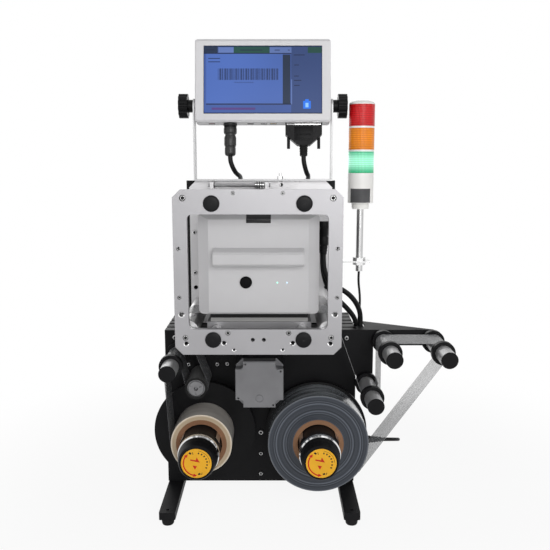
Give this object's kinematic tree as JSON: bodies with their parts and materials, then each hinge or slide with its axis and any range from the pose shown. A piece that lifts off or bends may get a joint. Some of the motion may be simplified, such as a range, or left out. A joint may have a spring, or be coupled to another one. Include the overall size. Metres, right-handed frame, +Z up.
{
  "type": "label rewinding machine",
  "caption": "Desk-top film rewinding machine: two reels on an upright panel, guide rollers, a print unit between aluminium plates, a tilting touch screen and a signal tower.",
  "frame": {"origin": "on the floor under the middle of the machine's box, without the mains lead", "axes": "+X to the machine's right seen from the front, +Y to the rear, +Z up"},
  "size_m": [0.557, 0.4765, 0.8889],
  "materials": {
    "black_paint": "satin black",
    "rubber": "matt",
    "spindle_black": "black anodised, bright collar",
    "black_plastic": "satin",
    "card": "wound card",
    "light_roll": "wound clear film over white",
    "dark_roll": "wound printed film",
    "film": "clear film",
    "roller_metal": "anodised",
    "motor_metal": "cast ends, dark stack",
    "plate_metal": "bead blasted",
    "screw_steel": "zinc plated",
    "shell": "light grey",
    "head": "dark anodised",
    "ribbon": "wound ribbon",
    "bracket_metal": "plated",
    "screen": "lit screen",
    "tower_white": "gloss white",
    "green": "clear colour",
    "amber": "clear colour",
    "red": "clear colour",
    "lead": "black sheath"
  },
  "bodies": {
    "machine": {"foot_bars": "black_paint", "main_panel": "black_paint", "roller_arm": "black_paint", "enclosure": "black_paint", "top_beam": "black_paint", "support_plate": "black_paint", "rubber_feet": "rubber", "feed_belt": "rubber", "platen_pad": "rubber", "rod_caps": "black_plastic", "film_web": "film", "roller_axles": "roller_metal", "feed_motor": "motor_metal", "reel_drives": "motor_metal", "bearing_housings": "motor_metal", "front_plate": "plate_metal", "rear_plate": "plate_metal", "tie_rods": "plate_metal", "platen": "plate_metal", "tower_mount": "plate_metal", "frame_screws": "screw_steel", "printer_body": "shell", "print_head": "head", "screen_bracket": "bracket_metal", "tower_body": "tower_white", "green_lens": "green", "amber_lens": "amber", "red_lens": "red", "screen_leads": "lead", "machine_leads": "lead", "mains_lead": "lead", "lead_coil": "lead", "lead_plugs": "lead"},
    "reel_right": {"rewind_spindle": "spindle_black", "rewind_core": "card", "rewind_roll": "dark_roll"},
    "reel_left": {"unwind_spindle": "spindle_black", "unwind_core": "card", "unwind_roll": "light_roll"},
    "knob_right": {"rewind_knob": "black_plastic"},
    "knob_left": {"unwind_knob": "black_plastic"},
    "guide_left": {"left_roller": "roller_metal"},
    "guide_inner": {"inner_roller": "roller_metal"},
    "guide_outer": {"outer_roller": "roller_metal"},
    "guide_low": {"low_roller": "roller_metal"},
    "corner_left": {"left_corner_roller": "roller_metal"},
    "corner_right": {"right_corner_roller": "roller_metal"},
    "feed": {"feed_roller": "roller_metal", "feed_rubber": "rubber"},
    "motor_shaft": {"motor_pulley": "roller_metal"},
    "ribbon_cassette": {"cassette": "shell"},
    "ribbon_supply": {"supply_spool": "ribbon"},
    "ribbon_takeup": {"takeup_spool": "ribbon"},
    "button": {"release_button": "black_plastic"},
    "adjuster": {"adjusting_screw": "plate_metal"},
    "screen_unit": {"screen_housing": "shell", "screen_glass": "screen", "screen_plugs": "black_plastic"},
    "hand_left": {"left_hand_knob": "black_plastic"},
    "hand_right": {"right_hand_knob": "black_plastic"}
  },
  "joints": [
    {"name": "rewind_spin", "type": "hinge", "parent": "machine", "child": "reel_right", "pos_m": [0.035, -0.0615, 0.144], "axis": [0, 1, 0], "continuous": true},
    {"name": "unwind_spin", "type": "hinge", "parent": "machine", "child": "reel_left", "pos_m": [-0.181, -0.0615, 0.144], "axis": [0, 1, 0], "continuous": true},
    {"name": "left_guide_spin", "type": "hinge", "parent": "machine", "child": "guide_left", "pos_m": [-0.2325, -0.0615, 0.295], "axis": [0, 1, 0], "continuous": true},
    {"name": "inner_guide_spin", "type": "hinge", "parent": "machine", "child": "guide_inner", "pos_m": [0.162, -0.0615, 0.3195], "axis": [0, 1, 0], "continuous": true},
    {"name": "outer_guide_spin", "type": "hinge", "parent": "machine", "child": "guide_outer", "pos_m": [0.257, -0.0615, 0.3195], "axis": [0, 1, 0], "continuous": true},
    {"name": "low_guide_spin", "type": "hinge", "parent": "machine", "child": "guide_low", "pos_m": [0.1315, -0.0615, 0.236], "axis": [0, 1, 0], "continuous": true},
    {"name": "left_corner_spin", "type": "hinge", "parent": "machine", "child": "corner_left", "pos_m": [-0.1925, -0.0615, 0.375], "axis": [0, 1, 0], "continuous": true},
    {"name": "right_corner_spin", "type": "hinge", "parent": "machine", "child": "corner_right", "pos_m": [0.0465, -0.0615, 0.375], "axis": [0, 1, 0], "continuous": true},
    {"name": "feed_spin", "type": "hinge", "parent": "machine", "child": "feed", "pos_m": [-0.187, -0.0615, 0.256], "axis": [0, 1, 0], "continuous": true},
    {"name": "motor_spin", "type": "hinge", "parent": "machine", "child": "motor_shaft", "pos_m": [-0.073, 0.0185, 0.264], "axis": [0, 1, 0], "continuous": true},
    {"name": "rewind_knob_turn", "type": "hinge", "parent": "reel_right", "child": "knob_right", "pos_m": [0.035, -0.1615, 0.144], "axis": [0, 1, 0], "range_deg": [-120, 0]},
    {"name": "unwind_knob_turn", "type": "hinge", "parent": "reel_left", "child": "knob_left", "pos_m": [-0.181, -0.1615, 0.144], "axis": [0, 1, 0], "range_deg": [-120, 0]},
    {"name": "screen_tilt", "type": "hinge", "parent": "machine", "child": "screen_unit", "pos_m": [-0.068, 0.0615, 0.764], "axis": [1, 0, 0], "range_deg": [-30, 30], "deforming": ["screen_leads"]},
    {"name": "left_hand_turn", "type": "hinge", "parent": "machine", "child": "hand_left", "pos_m": [-0.213, 0.0615, 0.764], "axis": [1, 0, 0], "range_deg": [-180, 180]},
    {"name": "right_hand_turn", "type": "hinge", "parent": "machine", "child": "hand_right", "pos_m": [0.077, 0.0615, 0.764], "axis": [1, 0, 0], "range_deg": [-180, 180]},
    {"name": "cassette_pull", "type": "slide", "parent": "machine", "child": "ribbon_cassette", "axis": [0, -1, 0], "range_m": [0, 0.16]},
    {"name": "supply_spin", "type": "hinge", "parent": "ribbon_cassette", "child": "ribbon_supply", "pos_m": [-0.121, -0.0615, 0.5078], "axis": [0, 1, 0], "continuous": true},
    {"name": "takeup_spin", "type": "hinge", "parent": "ribbon_cassette", "child": "ribbon_takeup", "pos_m": [-0.025, -0.0615, 0.5078], "axis": [0, 1, 0], "continuous": true},
    {"name": "button_press", "type": "slide", "parent": "ribbon_cassette", "child": "button", "axis": [0, 1, 0], "range_m": [0, 0.003], "stiffness_N_per_m": 400},
    {"name": "adjuster_turn", "type": "hinge", "parent": "machine", "child": "adjuster", "pos_m": [-0.113, 0.0375, 0.614], "axis": [1, 0, 0], "range_deg": [-360, 360]}
  ],
  "couplings": [
    {"joint": "unwind_spin", "follows": "rewind_spin", "ratio": 1.646},
    {"joint": "left_guide_spin", "follows": "rewind_spin", "ratio": 6.2},
    {"joint": "inner_guide_spin", "follows": "rewind_spin", "ratio": 6.2},
    {"joint": "outer_guide_spin", "follows": "rewind_spin", "ratio": 6.2},
    {"joint": "low_guide_spin", "follows": "rewind_spin", "ratio": -6.2},
    {"joint": "left_corner_spin", "follows": "rewind_spin", "ratio": 5.4706},
    {"joint": "right_corner_spin", "follows": "rewind_spin", "ratio": 5.4706},
    {"joint": "feed_spin", "follows": "rewind_spin", "ratio": -4.65},
    {"joint": "motor_spin", "follows": "rewind_spin", "ratio": -9.3},
    {"joint": "takeup_spin", "follows": "supply_spin", "ratio": 1.4286}
  ]
}
